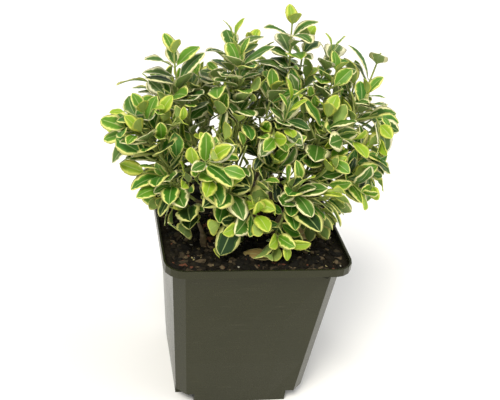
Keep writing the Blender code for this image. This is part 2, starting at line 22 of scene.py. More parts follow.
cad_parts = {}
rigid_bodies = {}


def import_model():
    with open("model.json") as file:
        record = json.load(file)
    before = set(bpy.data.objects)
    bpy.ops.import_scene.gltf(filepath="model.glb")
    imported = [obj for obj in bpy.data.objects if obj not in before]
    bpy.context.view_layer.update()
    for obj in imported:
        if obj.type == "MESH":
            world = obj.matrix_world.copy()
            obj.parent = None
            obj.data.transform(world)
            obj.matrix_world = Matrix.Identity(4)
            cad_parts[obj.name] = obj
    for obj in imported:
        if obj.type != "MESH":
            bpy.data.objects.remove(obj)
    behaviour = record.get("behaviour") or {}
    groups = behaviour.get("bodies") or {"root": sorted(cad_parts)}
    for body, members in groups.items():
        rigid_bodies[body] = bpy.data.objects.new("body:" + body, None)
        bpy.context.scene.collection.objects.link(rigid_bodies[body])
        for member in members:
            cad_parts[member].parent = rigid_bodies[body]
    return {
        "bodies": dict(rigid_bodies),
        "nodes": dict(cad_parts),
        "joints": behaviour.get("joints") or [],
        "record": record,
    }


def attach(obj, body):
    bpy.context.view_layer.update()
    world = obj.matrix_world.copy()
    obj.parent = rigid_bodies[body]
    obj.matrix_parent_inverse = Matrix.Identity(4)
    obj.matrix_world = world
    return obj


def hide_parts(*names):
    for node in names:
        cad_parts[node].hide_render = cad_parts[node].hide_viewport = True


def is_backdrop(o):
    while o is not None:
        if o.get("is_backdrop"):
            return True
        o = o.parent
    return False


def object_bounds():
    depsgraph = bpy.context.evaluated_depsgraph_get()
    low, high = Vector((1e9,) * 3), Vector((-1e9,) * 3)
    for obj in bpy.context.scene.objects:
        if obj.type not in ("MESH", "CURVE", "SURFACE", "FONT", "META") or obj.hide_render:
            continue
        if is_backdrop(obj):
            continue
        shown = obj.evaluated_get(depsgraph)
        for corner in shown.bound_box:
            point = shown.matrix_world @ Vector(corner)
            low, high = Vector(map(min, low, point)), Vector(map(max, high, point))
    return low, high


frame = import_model()
cad_low, cad_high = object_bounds()

# %% [markdown]
# ## Named sizes
#
# Metres throughout. The pot's numbers and the crown's numbers are those of the plain model, so a
# twig of this scene grows exactly where the twig of the plain model grows. The two tables name the
# short woody stems of the clump and the leafy shoots that can be told apart in a photograph.

# %%
POT_WIDTH = 0.110
POT_HEIGHT = 0.1106
BASE_WIDTH = 0.0794
SHOULDER_WIDTH = 0.0992
RIM_DEPTH = 0.0048
RIM_CORNER_RADIUS = 0.0115
WALL = 0.0012
SOIL_BELOW_RIM = 0.0025
GAP = 0.0003
SOIL_LEVEL = POT_HEIGHT - SOIL_BELOW_RIM
STEM_RADIUS = 0.0021
STEM_TIP_RADIUS = 0.0015
BOUGH_RADIUS = 0.0012
ENTRY_RADIUS = 0.0010
TWIG_RADIUS = 0.0008
TIP_RADIUS = 0.0005
BOUGH_SHARE = 0.16
LEAF_LENGTH = 0.0235
LEAF_WIDTH_SHARE = 0.60
LEAF_THICKNESS = 0.0008
NODE_GAP = 0.0130
TIP_PAIR_DROP = 0.0006
TIP_BUD = 0.0035
CURVE_PULL = 0.38
SPACE_MARGIN = 0.0005
BLADE_START = 0.14
SHOOT_STEPS = 7
CROWN_MIDDLE = (-0.003, 0.003)
CROWN_REACH = (0.088, 0.065)
CROWN_HEIGHT = 0.1330
DOME_HEIGHT = 0.100
SKIRT_REACH = 0.047
SKIRT_SLOPE = 1.2
SEED = 27

# Stems of the clump: name, foot azimuth and reach, top azimuth and reach, height.
# Azimuths are in degrees seen from above, from +X towards +Y.
STEMS = (
    ("west", 188, 0.0150, 182, 0.0210, 0.018),
    ("south_west", 217, 0.0370, 218, 0.0390, 0.008),
    ("south", 302, 0.0260, 300, 0.0280, 0.010),
    ("middle", 235, 0.0100, 232, 0.0150, 0.018),
    ("core", 25, 0.0050, 50, 0.0070, 0.026),
    ("east", 350, 0.0190, 348, 0.0250, 0.017),
    ("north_east", 40, 0.0190, 40, 0.0260, 0.019),
    ("north", 118, 0.0160, 116, 0.0240, 0.018),
)

# Shoots that lead the crown: mass, what the shoot grows from, the share of that length where it
# leaves, then the tip's azimuth, reach and height above the soil, and its lean from upright.
# The first shoot of a mass grows from a stem of the clump, the others from the first.
SHOOTS = (
    ("left_tall", "west", 1.00, 174, 0.051, 0.110, 5),
    ("left_out", "west", 0.80, 188, 0.068, 0.081, 20),
    ("left_out", "left_out", 0.30, 199, 0.073, 0.076, 35),
    ("left_back", "west", 0.62, 150, 0.060, 0.076, 20),
    ("left_low", "south_west", 1.00, 204, 0.064, 0.055, 35),
    ("left_low", "left_low", 0.32, 201, 0.060, 0.029, 70),
    ("left_low", "left_low", 0.12, 214, 0.052, 0.018, 75),
    ("front_left", "middle", 0.80, 220, 0.039, 0.064, 15),
    ("front_left", "front_left", 0.35, 242, 0.043, 0.050, 35),
    ("front_left", "front_left", 0.20, 264, 0.040, 0.034, 60),
    ("front_left", "front_left", 0.10, 240, 0.034, 0.018, 78),
    ("front_left", "front_left", 0.28, 270, 0.030, 0.050, 25),
    ("middle", "middle", 1.00, 180, 0.0146, 0.112, 2),
    ("middle", "middle", 0.45, 131, 0.024, 0.117, 4),
    ("middle", "middle", 0.10, 188, 0.024, 0.050, 40),
    ("centre", "core", 1.00, 350, 0.006, 0.092, 8),
    ("centre", "centre", 0.35, 308, 0.020, 0.086, 12),
    ("centre", "centre", 0.15, 285, 0.024, 0.058, 25),
    ("centre", "centre", 0.05, 318, 0.020, 0.040, 50),
    ("top_back", "core", 0.78, 53, 0.0315, 0.123, 0),
    ("top_back", "top_back", 0.50, 47, 0.044, 0.109, 10),
    ("front_right", "south", 1.00, 296, 0.042, 0.052, 20),
    ("front_right", "front_right", 0.35, 314, 0.045, 0.044, 45),
    ("front_right", "front_right", 0.20, 334, 0.047, 0.030, 65),
    ("front_right", "front_right", 0.12, 284, 0.040, 0.019, 70),
    ("right_front", "east", 1.00, 348, 0.039, 0.080, 8),
    ("right_front", "right_front", 0.35, 4, 0.054, 0.074, 15),
    ("right_front", "right_front", 0.15, 325, 0.045, 0.055, 30),
    ("right_out", "east", 0.80, 4, 0.064, 0.090, 10),
    ("right_out", "right_out", 0.35, 356, 0.068, 0.061, 35),
    ("right_out", "right_out", 0.20, 344, 0.060, 0.047, 50),
    ("right_crest", "north_east", 1.00, 18, 0.049, 0.099, 8),
    ("right_crest", "right_crest", 0.50, 27, 0.050, 0.109, 5),
    ("right_tall", "north_east", 0.80, 21, 0.083, 0.106, 15),
    ("right_tall", "right_tall", 0.55, 27, 0.075, 0.090, 15),
    ("back_right", "north_east", 0.60, 52, 0.062, 0.080, 25),
    ("back_mid", "north", 1.00, 88, 0.050, 0.098, 12),
    ("back_mid", "back_mid", 0.35, 75, 0.056, 0.072, 40),
    ("back_left", "north", 0.70, 122, 0.056, 0.078, 25),
)

# A lower shoot grows under each leader that reaches further out than this. Then the share of the
# leader where it leaves, its turn in degrees, its shares of the reach and height, and its lean.
UNDER_REACH = 0.048
UNDER_SHARE = 0.18
UNDER_TURN = 9
UNDER_REACH_SHARE = 0.80
UNDER_HEIGHT_SHARE = 0.54
UNDER_LEAN = 45

print("stems:", len(STEMS), "shoots:", len(SHOOTS))

# %% [markdown]
# ## Shader maths written as Python
#
# Materials could be wired by hand in the shader editor. Here `Value` wraps one output of a shader
# node, and adding or multiplying two of them makes a Math node, so a formula in Python becomes a
# little tree of nodes that is easy to read again. `Paint` builds one material around that.

# %%
# The Mix node has its sockets for every kind of data in one row: these are the colour ones.
MIX_FIRST, MIX_SECOND, MIX_COLOUR = 6, 7, 2


class Value:
    """An output of a shader node that can be used in Python arithmetic."""

    def __init__(self, tree, socket):
        self.tree = tree
        self.socket = socket

    def join(self, operation, left, right):
        """A Math node on two values or numbers."""
        maths = self.tree.nodes.new("ShaderNodeMath")
        maths.operation = operation
        for place, item in zip(maths.inputs, (left, right)):
            if isinstance(item, Value):
                self.tree.links.new(item.socket, place)
            else:
                place.default_value = item
        return Value(self.tree, maths.outputs[0])

    def __add__(self, other):
        return self.join("ADD", self, other)

    def __radd__(self, other):
        return self.join("ADD", other, self)

    def __sub__(self, other):
        return self.join("SUBTRACT", self, other)

    def __rsub__(self, other):
        return self.join("SUBTRACT", other, self)

    def __mul__(self, other):
        return self.join("MULTIPLY", self, other)

    def __rmul__(self, other):
        return self.join("MULTIPLY", other, self)

    def clamp(self, low=0.0, high=1.0):
        """The value kept between two numbers."""
        return self.join("MINIMUM", self.join("MAXIMUM", self, low), high)


class Paint:
    """A Principled material and short ways to wire it."""

    def __init__(self, name, colour, roughness):
        self.material = bpy.data.materials.new(name)
        self.material.use_nodes = True
        self.tree = self.material.node_tree
        self.shader = self.tree.nodes["Principled BSDF"]
        self.shader.inputs["Base Color"].default_value = (*colour, 1.0)
        self.shader.inputs["Roughness"].default_value = roughness
        self.material.diffuse_color = (*colour, 1.0)

    def node(self, kind, output, inputs=(), **settings):
        """Any node: its type, the output that is used, its inputs and its settings."""
        made = self.tree.nodes.new(kind)
        for name, value in settings.items():
            setattr(made, name, value)
        for name, value in dict(inputs).items():
            if isinstance(value, Value):
                self.tree.links.new(value.socket, made.inputs[name])
            else:
                made.inputs[name].default_value = value
        return Value(self.tree, made.outputs[output])

    def noise(self, scale, detail, stretch=None):
        """Noise that is fixed to the piece, stretched where three scales are given."""
        where = self.node("ShaderNodeTexCoord", "Object")
        if stretch:
            where = self.node("ShaderNodeMapping", "Vector", {"Vector": where, "Scale": stretch})
        return self.node("ShaderNodeTexNoise", "Fac",
                         {"Vector": where, "Scale": scale, "Detail": detail})

    def mix(self, share, first, second):
        """Colour between two colours or values."""
        made = self.tree.nodes.new("ShaderNodeMix")
        made.data_type = "RGBA"
        sockets = (made.inputs["Factor"], made.inputs[MIX_FIRST], made.inputs[MIX_SECOND])
        for place, item in zip(sockets, (share, first, second)):
            if isinstance(item, Value):
                self.tree.links.new(item.socket, place)
            elif isinstance(item, tuple):
                place.default_value = (*item, 1.0)
            else:
                place.default_value = item
        return Value(self.tree, made.outputs[MIX_COLOUR])

    def set(self, name, value):
        """Link a value to a socket of the shader."""
        self.tree.links.new(value.socket, self.shader.inputs[name])

    def fix(self, name, value):
        """Give a socket of the shader one number or colour for the whole surface."""
        self.shader.inputs[name].default_value = value

    def bump(self, height, distance, strength):
        """Fine relief from a height value."""
        normal = self.node("ShaderNodeBump", "Normal",
                           {"Height": height, "Distance": distance, "Strength": strength})
        self.set("Normal", normal)


# %% [markdown]
# ## Leaf paints
#
# A variegated leaf has a green middle and a cream margin, with a paler green band and an uneven edge
# between them. A painted picture could show that, but it would have to fit every leaf. Here the edge is
# cut into the mesh, so each paint below is one plain colour, and the noise only touches the gloss and
# the fine relief. A tone is a family of paints for one kind of leaf: young, grown and dry, and darker
# copies that are painted shade on low leaves.

# %%
# Colours of the middle, the band and the margin of each tone. The first tone is a darker copy of the
# yellow-edged one: painted shade for large low leaves at the front.
LEAF_TONES = {
    "painted_shade_yellow": ((0.012, 0.040, 0.007), (0.040, 0.100, 0.014), (0.640, 0.640, 0.210)),
    "mid_yellow": ((0.048, 0.165, 0.012), (0.120, 0.270, 0.028), (0.760, 0.750, 0.230)),
    "deep_white": ((0.030, 0.094, 0.012), (0.100, 0.160, 0.045), (0.820, 0.790, 0.440)),
    "mid_white": ((0.058, 0.155, 0.015), (0.170, 0.255, 0.055), (0.860, 0.820, 0.450)),
    "grey_white": ((0.085, 0.160, 0.030), (0.230, 0.285, 0.110), (0.880, 0.850, 0.560)),
    "fresh": ((0.105, 0.250, 0.016), (0.230, 0.380, 0.045), (0.760, 0.760, 0.240)),
    "lime": ((0.270, 0.420, 0.026), (0.400, 0.520, 0.060), (0.620, 0.660, 0.110)),
    "dry": ((0.330, 0.230, 0.085), (0.400, 0.300, 0.120), (0.480, 0.380, 0.170)),
}


def leaf_paint(name, colour, roughness):
    """Leathery leaf surface in one colour."""
    paint = Paint(name, colour, roughness)
    grain = paint.noise(900.0, 2.0)
    paint.set("Roughness", (roughness + 0.18 * (grain - 0.5)).clamp())
    paint.bump(grain, 0.0001, 0.35)
    paint.fix("Specular IOR Level", 0.26)
    return paint.material


PALE_RIB = (0.42, 0.50, 0.20)
PALE_UNDER = (0.34, 0.46, 0.15)
leaf_materials = []
tone_slots = {}
for tone, (centre, band, margin) in LEAF_TONES.items():
    tone_slots[tone] = len(leaf_materials)
    rib = tuple(0.5 * (a + b) for a, b in zip(band, PALE_RIB))
    under = tuple(0.45 * a + 0.55 * b for a, b in zip(band, PALE_UNDER))
    for part, colour, roughness in (("middle", centre, 0.46), ("band", band, 0.40),
                                    ("margin", margin, 0.42), ("rib", rib, 0.42),
                                    ("under", under, 0.60)):
        leaf_materials.append(leaf_paint(f"leaf_{tone}_{part}", colour, roughness))
print("leaf paints:", len(leaf_materials))

# %% [markdown]
# ## Curves for stems and shoots
#
# A living stem bends: it leaves its parent one way and reaches for the light another way. A Bezier
# curve object could show that, but we also need points and directions along it for the leaves, so
# the curve is worked out here as a short list of points.

# %%
STEM_STEPS = 4
STEM_RISE = 0.6
TOWARDS_TIP = 0.7
ALONG_PARENT = 0.8


def spot(azimuth, reach, height):
    """Point of the crown from its bearing, distance from the middle and height above the soil."""
    angle = math.radians(azimuth)
    return Vector((reach * math.cos(angle), reach * math.sin(angle), SOIL_LEVEL + height))


def bend(start, start_way, end, end_way, steps):
    """Points of a smooth curve that leaves and arrives along the given ways."""
    pull = (end - start).length * CURVE_PULL
    first = start + start_way.normalized() * pull
    second = end - end_way.normalized() * pull
    points = []
    for step in range(steps + 1):
        t = step / steps
        u = 1 - t
        points.append(start * u ** 3 + first * 3 * u * u * t + second * 3 * u * t * t + end * t ** 3)
    return points


def point_along(points, share):
    """Point and way at a share of a polyline's length."""
    lengths = [(b - a).length for a, b in zip(points, points[1:])]
    target = share * sum(lengths)
    for a, b, length in zip(points, points[1:], lengths):
        if target <= length:
            return a.lerp(b, target / length), (b - a).normalized()
        target -= length
    return points[-1].copy(), (points[-1] - points[-2]).normalized()


def part_of(points, first, last):
    """The stretch of a polyline between two shares of its length."""
    steps = len(points) - 1
    return [point_along(points, first + (last - first) * step / steps)[0] for step in range(steps + 1)]


def length_of(points):
    """Length of a polyline."""
    return sum((b - a).length for a, b in zip(points, points[1:]))


def stem_path(stem):
    """Curve of one stem of the clump from the soil to its top."""
    _, foot_azimuth, foot_reach, top_azimuth, top_reach, height = stem
    foot = spot(foot_azimuth, foot_reach, GAP)
    top = spot(top_azimuth, top_reach, height)
    lean = (top - foot).normalized() + Vector((0, 0, STEM_RISE))
    return bend(foot, Vector((0, 0, 1)), top, lean, STEM_STEPS)


def outward(azimuth, lean):
    """Way that leans out from upright towards an azimuth."""
    angle = math.radians(azimuth)
    tilt = math.radians(lean)
    return Vector((math.sin(tilt) * math.cos(angle), math.sin(tilt) * math.sin(angle), math.cos(tilt)))


def shoot_path(shoot, parent_points, clear):
    """Curve of a leading shoot to its tip, from a parent that its foot keeps clear of."""
    _, _, share, azimuth, reach, height, lean = shoot
    base, parent_way = point_along(parent_points, share)
    tip = spot(azimuth, reach, height - TIP_BUD)
    towards = (tip - base).normalized()
    if share == 1.0:
        start_way = (parent_way + towards * TOWARDS_TIP).normalized()
        start = base + start_way * GAP
    else:
        side = towards - parent_way * towards.dot(parent_way)
        start_way = (side.normalized() + parent_way * ALONG_PARENT).normalized()
        start = base + side.normalized() * clear
    return bend(start, start_way, tip, outward(azimuth, lean), SHOOT_STEPS)


def under_shoot(leader):
    """A shoot below a leader that reaches far out, which fills the crown's flank."""
    mass, _, _, azimuth, reach, height, _ = leader
    return (mass, mass, UNDER_SHARE, azimuth + UNDER_TURN, reach * UNDER_REACH_SHARE,
            height * UNDER_HEIGHT_SHARE, UNDER_LEAN)


def leading_paths():
    """Paths of the clump's stems and of every leading shoot, by name."""
    stems = {stem[0]: stem_path(stem) for stem in STEMS}
    shoots = {}
    for shoot in SHOOTS:
        mass, parent, share = shoot[:3]
        if mass not in shoots:
            leader = shoot_path(shoot, stems[parent], STEM_RADIUS + BOUGH_RADIUS + GAP)
            shoots[mass] = [leader]
            below = [under_shoot(shoot)] if shoot[4] > UNDER_REACH else []
        else:
            below = [shoot]
        for side_shoot in below:
            from_share = BOUGH_SHARE + (1 - BOUGH_SHARE) * side_shoot[2]
            adjusted = (mass, mass, from_share, *side_shoot[3:])
            shoots[mass].append(shoot_path(adjusted, shoots[mass][0], 0.0))
    return stems, shoots


stems, shoots = leading_paths()
print("paths:", len(stems), "stems and", sum(len(paths) for paths in shoots.values()), "shoots")

# %% [markdown]
# ## Room for each piece
#
# Leaves of a real shrub seldom pass through each other. Each foliage mass keeps to the room that is
# nearer its own shoots, and search trees tell whether a new leaf or twig touches what has grown.
# A physics simulation could push leaves apart, but a test before each leaf is simpler and always
# gives the same result.

# %%
SHELL_SIDES = 3
# Outline of a blade for the tests: shares of its length and width.
BLADE_OUTLINE = ((BLADE_START, 0.14), (0.30, 0.46), (0.50, 0.50), (0.72, 0.42), (1.0, 0.03),
                 (0.72, -0.42), (0.50, -0.50), (0.30, -0.46), (BLADE_START, -0.14))
SOIL_CLEARANCE = 0.001
DOME_ROUNDING = 0.4
CREST_ROUNDING = 0.2


def spine_trees(shoots):
    """For each mass, a search tree of its own shoots' points and one of all the others'."""
    trees = {}
    for mass in shoots:
        own = [point for path in shoots[mass] for point in path[1:]]
        others = [point for name, paths in shoots.items() if name != mass
                  for path in paths for point in path[1:]]
        pair = []
        for points in (own, others):
            tree = KDTree(len(points))
            for index, point in enumerate(points):
                tree.insert(point, index)
            tree.balance()
            pair.append(tree)
        trees[mass] = pair
    return trees


class Crown:
    """What has grown so far: bounding balls and search trees of limbs, twigs and blades."""

    def __init__(self, shoots):
        self.spines = spine_trees(shoots)
        self.grown = []

    def is_own(self, point, mass):
        """Whether a point is nearer its own mass's shoots than any other's."""
        own, others = self.spines[mass]
        return own.find(point)[2] + SPACE_MARGIN < others.find(point)[2]

    def add(self, points, faces):
        """Remember a piece of the plant."""
        centre = sum(points, Vector()) / len(points)
        radius = max((point - centre).length for point in points)
        self.grown.append((centre, radius, BVHTree.FromPolygons(points, faces)))

    def is_clear(self, points, faces):
        """Whether a new piece touches nothing that has grown."""
        centre = sum(points, Vector()) / len(points)
        radius = max((point - centre).length for point in points)
        tree = None
        for other_centre, other_radius, other_tree in self.grown:
            if (centre - other_centre).length > radius + other_radius:
                continue
            if tree is None:
                tree = BVHTree.FromPolygons(points, faces)
            if tree.overlap(other_tree):
                return False
        return True


def tube_shell(points, radius):
    """Points and faces of a three-sided tube used for the clearance tests."""
    shell = []
    for index, point in enumerate(points):
        way = points[min(index + 1, len(points) - 1)] - points[max(index - 1, 0)]
        across = way.orthogonal().normalized()
        for corner in range(SHELL_SIDES):
            turn = Matrix.Rotation(corner * 2 * math.pi / SHELL_SIDES, 3, way)
            shell.append(point + turn @ across * radius)
    faces = []
    for ring in range(len(points) - 1):
        for corner in range(SHELL_SIDES):
            a = ring * SHELL_SIDES + corner
            b = ring * SHELL_SIDES + (corner + 1) % SHELL_SIDES
            faces.append((a, b, b + SHELL_SIDES, a + SHELL_SIDES))
    return shell, faces


def blade_shell(leaf):
    """Points and faces of a leaf's blade, clear of its root, for the clearance tests."""
    frame, length, width = leaf["frame"], leaf["length"], leaf["width"]
    half_thick = LEAF_THICKNESS * 0.5 + GAP
    rim = [Vector((x * length, y * width, 0.0)) for x, y in BLADE_OUTLINE]
    above = Vector((length * 0.5, 0.0, half_thick))
    below = Vector((length * 0.5, 0.0, -half_thick))
    shell = [frame @ point for point in (*rim, above, below)]
    count = len(rim)
    faces = [(index, (index + 1) % count, count) for index in range(count)]
    faces += [((index + 1) % count, index, count + 1) for index in range(count)]
    return shell, faces


def in_crown(point, under_dome):
    """Whether a point lies inside the crown's outline, over its flared skirt and the soil."""
    across = (point.x - CROWN_MIDDLE[0]) / CROWN_REACH[0]
    deep = (point.y - CROWN_MIDDLE[1]) / CROWN_REACH[1]
    height = point.z - SOIL_LEVEL
    edge = across * across + deep * deep
    lowest = max(SOIL_CLEARANCE, SKIRT_SLOPE * (math.hypot(point.x, point.y) - SKIRT_REACH))
    if under_dome:
        highest = DOME_HEIGHT * math.sqrt(max(0.0, 1 - DOME_ROUNDING * edge))
    else:
        highest = CROWN_HEIGHT * math.sqrt(max(0.0, 1 - CREST_ROUNDING * edge))
    return edge < 1 and lowest < height < highest


def may_grow(shell, faces, mass, crown, under_dome):
    """Whether a piece keeps to the crown and its mass's space and touches nothing."""
    if not all(in_crown(point, under_dome) for point in shell):
        return False
    if not all(crown.is_own(point, mass) for point in shell):
        return False
    return crown.is_clear(shell, faces)


crown = Crown(shoots)
for points in stems.values():
    crown.add(*tube_shell(points, STEM_RADIUS + GAP))
for paths in shoots.values():
    crown.add(*tube_shell(part_of(paths[0], 0.0, BOUGH_SHARE)[::3], BOUGH_RADIUS + GAP))
for paths in shoots.values():
    for path in paths:
        crown.add(*tube_shell(part_of(path, BOUGH_SHARE + 0.02, 1.0), ENTRY_RADIUS))
print("limbs to keep clear of:", len(crown.grown))

# %% [markdown]
# ## Leaf pairs and twigs
#
# This shrub carries its leaves in opposite pairs, each pair turned a quarter from the one below. The
# pairs at a tip are small and stand nearly upright. Lower ones are full grown and spread wide. Side
# twigs leave where the older pairs stand. A particle system scatters leaves by chance and can't
# follow such a rule, so the pairs are placed one by one.

# %%
LEAF_LIFT = 0.45
UPRIGHT_LIMIT = 0.2
# From the tip down: each pair's share of the full length, and its spread from the shoot in degrees.
PAIR_LENGTHS = (0.56, 0.84, 1.0, 1.0)
PAIR_SPREADS = (28, 58, 72, 80)
LENGTH_CHANCE = (0.9, 1.12)
SPREAD_CHANCE = 7
LOW_LEAF_SIZE = 1.17
LEAF_SIZE_FALL = 0.27
# Tries for a leaf that has no room: turn about the shoot, share of the size, more spread.
LEAF_TRIES = ((0, 1, 0), (0, 1, -14), (12, 1, 10), (-12, 1, 10), (0, 0.84, 8), (20, 0.84, -12),
              (-20, 0.84, -12), (34, 0.84, 0), (-34, 0.84, 0), (0, 0.68, 0), (24, 0.68, 14),
              (-24, 0.68, 14))
FIRST_GAP_SHARE = 0.62
GAP_GROWTH = 1.25
BRANCHING_RANK = 2
TWIG_LENGTHS = (0.7, 1.3)
# Tries for a side twig: how far it leans out, and share of its length.
TWIG_TRIES = ((1.0, 1.0), (1.5, 1.0), (0.7, 1.0), (1.1, 0.6))
TWIG_RISE = 0.15
TWIG_FOOT_SHARE = 0.2
TWIG_FIRST_GAP = 0.006
SHOOT_THICKENING = 1.1


def leaf_frame(base, axis, side, spread):
    """Placing of a leaf: X along the blade, Z out of its upper side."""
    blade_way = (axis * math.cos(spread) + side * math.sin(spread)).normalized()
    upper = (axis * math.sin(spread) - side * math.cos(spread)).normalized()
    upper = (upper + Vector((0, 0, LEAF_LIFT))).normalized()
    across = upper.cross(blade_way).normalized()
    upper = blade_way.cross(across).normalized()
    frame = Matrix((blade_way, across, upper)).transposed().to_4x4()
    frame.translation = base
    return frame


def pair_side(axis, turn):
    """Side of the stem that the first leaf of a pair stands on."""
    reference = Vector((0, 0, 1)).cross(axis)
    if reference.length < UPRIGHT_LIMIT:
        reference = Vector((1, 0, 0)) - axis * axis.x
    return Matrix.Rotation(turn, 3, axis) @ reference.normalized()


def leaf_rank(from_tip, height, rng):
    """Length and spread of a leaf by how many pairs are above it, longer lower in the crown."""
    rank = min(from_tip, len(PAIR_LENGTHS) - 1)
    lower = LOW_LEAF_SIZE - LEAF_SIZE_FALL * height / CROWN_HEIGHT
    length = LEAF_LENGTH * PAIR_LENGTHS[rank] * lower * rng.uniform(*LENGTH_CHANCE)
    return length, math.radians(PAIR_SPREADS[rank] + rng.uniform(-SPREAD_CHANCE, SPREAD_CHANCE))


def grow_leaf(base, axis, side, length, spread, mass, crown, under_dome):
    """One leaf that keeps clear, tried at a few spreads and sizes, or None."""
    for turn, size, more in LEAF_TRIES:
        turned = Matrix.Rotation(math.radians(turn), 3, axis) @ side
        frame = leaf_frame(base, axis, turned, spread + math.radians(more))
        leaf = {"frame": frame, "length": length * size,
                "width": length * size * LEAF_WIDTH_SHARE}
        shell, faces = blade_shell(leaf)
        if may_grow(shell, faces, mass, crown, under_dome):
            crown.add(shell, faces)
            return leaf
    return None


def nodes_along(points, first_gap):
    """Shares of a shoot where its leaf pairs stand, from the tip down."""
    total = length_of(points)
    shares = [1.0 - TIP_PAIR_DROP / total]
    gap = NODE_GAP * FIRST_GAP_SHARE
    place = total - gap
    while place > first_gap:
        shares.append(place / total)
        gap = min(gap * GAP_GROWTH, NODE_GAP)
        place -= gap
    return shares


def grow_pairs(points, first_gap, mass, crown, rng, leaves, under_dome):
    """Set opposite leaf pairs along a shoot and return the nodes that can branch."""
    turn = rng.uniform(0, math.pi)
    nodes = []
    for from_tip, share in enumerate(nodes_along(points, first_gap)):
        base, axis = point_along(points, share)
        side = pair_side(axis, turn + from_tip * math.pi / 2)
        nodes.append((from_tip, base, axis, side))
        for sign in (1, -1):
            length, spread = leaf_rank(from_tip, base.z - SOIL_LEVEL, rng)
            leaf = grow_leaf(base, axis, side * sign, length, spread, mass, crown, under_dome)
            if leaf:
                leaf["rank"] = from_tip
                leaves.append(leaf)
    return nodes


def grow_twigs(nodes, mass, crown, rng, twigs, leaves):
    """Straight side twigs from the lower nodes of a shoot, each with its own leaf pairs."""
    for from_tip, base, axis, side in nodes:
        if from_tip < BRANCHING_RANK:
            continue
        for sign in (1, -1):
            across = axis.cross(side) * sign
            length = LEAF_LENGTH * rng.uniform(*TWIG_LENGTHS)
            for lean, size in TWIG_TRIES:
                way = (axis + across * lean + Vector((0, 0, TWIG_RISE))).normalized()
                path = [base, base + way * length * size]
                shell, faces = tube_shell(part_of(path, TWIG_FOOT_SHARE, 1.0), TWIG_RADIUS + GAP)
                if may_grow(shell, faces, mass, crown, True):
                    crown.add(shell, faces)
                    twigs.append((path, TWIG_RADIUS, TIP_RADIUS))
                    grow_pairs(path, TWIG_FIRST_GAP, mass, crown, rng, leaves, True)
                    break


def grow_mass(mass, paths, crown, rng):
    """All shoots, twigs and leaves of one mass."""
    leader = part_of(paths[0], BOUGH_SHARE + GAP / length_of(paths[0]), 1.0)
    shoots = [(leader, ENTRY_RADIUS, TIP_RADIUS)]
    shoots += [(path, TWIG_RADIUS * SHOOT_THICKENING, TIP_RADIUS) for path in paths[1:]]
    twigs = []
    leaves = []
    nodes = []
    for path, _, _ in shoots:
        nodes += grow_pairs(path, NODE_GAP * 0.5, mass, crown, rng, leaves, False)
    grow_twigs(nodes, mass, crown, rng, twigs, leaves)
    return shoots, twigs, leaves


grown = {}
for index, (mass, paths) in enumerate(shoots.items()):
    grown[mass] = grow_mass(mass, paths, crown, random.Random(SEED + index))
print("first pass:", sum(len(item[2]) for item in grown.values()), "leaves")

# %% [markdown]
# ## Finer twigs
#
# The pass above repeats the plain model's twigs and leaves. A real crown is denser: short twigs and
# smaller leaves fill the gaps. They are grown by the same tests in the room that is left, so the
# reach of the crown stays the same and the sky still shows through where the shoots stand apart.

# %%
FINE_TWIG_LENGTH = 0.016
FINE_PASSES = 2
UNDER_DOME_SHARE = 0.6
FINE_STEP_SHARE = 0.55
FINE_LEAF_SIZES = (0.62, 1.0)
FINE_SPREADS = (55, 88)
FINE_TWIG_SIZES = (0.6, 1.2)
FINE_TWIG_RISE = 0.2
FINE_FOOT_SHARE = 0.25
FINE_FIRST_GAP = 0.005
GROWN_RANK = 3


def grow_fine(mass, shoots, twigs, crown, rng):
    """Finer twigs and leaves between those of the first pass."""
    fine_twigs = []
    fine_leaves = []
    for path, _, _ in shoots + twigs:
        total = length_of(path)
        steps = max(1, int(total / (NODE_GAP * FINE_STEP_SHARE)))
        for step in range(1, steps + 1):
            base, axis = point_along(path, step / (steps + 1))
            side = pair_side(axis, rng.uniform(0, math.tau))
            for sign in (1, -1):
                length = LEAF_LENGTH * rng.uniform(*FINE_LEAF_SIZES)
                spread = math.radians(rng.uniform(*FINE_SPREADS))
                leaf = grow_leaf(base, axis, side * sign, length, spread,
                                 mass, crown, rng.random() < UNDER_DOME_SHARE)
                if leaf:
                    leaf["rank"] = GROWN_RANK
                    fine_leaves.append(leaf)
            across = axis.cross(side) * rng.choice((-1, 1))
            way = (axis + across + Vector((0, 0, FINE_TWIG_RISE))).normalized()
            twig = [base, base + way * FINE_TWIG_LENGTH * rng.uniform(*FINE_TWIG_SIZES)]
            shell, faces = tube_shell(part_of(twig, FINE_FOOT_SHARE, 1.0), TIP_RADIUS + GAP)
            if may_grow(shell, faces, mass, crown, True):
                crown.add(shell, faces)
                fine_twigs.append((twig, TIP_RADIUS * 1.1, TIP_RADIUS * 0.8))
                before = len(fine_leaves)
                grow_pairs(twig, FINE_FIRST_GAP, mass, crown, rng, fine_leaves, True)
                if len(fine_leaves) == before:
                    fine_twigs.pop()
    return fine_twigs, fine_leaves


for index, mass in enumerate(grown):
    mass_shoots, mass_twigs, mass_leaves = grown[mass]
    rng = random.Random(SEED * 100 + index)
    for _ in range(FINE_PASSES):
        fine_twigs, fine_leaves = grow_fine(mass, mass_shoots, mass_twigs, crown, rng)
        mass_twigs = mass_twigs + fine_twigs
        mass_leaves = mass_leaves + fine_leaves
    grown[mass] = (mass_shoots, mass_twigs, mass_leaves)
print("leaves:", sum(len(item[2]) for item in grown.values()),
      "twigs:", sum(len(item[1]) for item in grown.values()))

# %% [markdown]
# ## One leaf as a mesh
#
# The real leaf is leathery, finely toothed, folded a little along its rib and arched. Its blade is
# a grid here: rows run from the stalk to the tip, and columns from edge to edge. On each half, one
# column follows the border of the cream margin and the next one the paler band, and both wander
# from row to row. A subdivided plane with a picture would be quicker, but its margin would be
# blurred and the same on every leaf. An underside of fewer columns closes the blade.

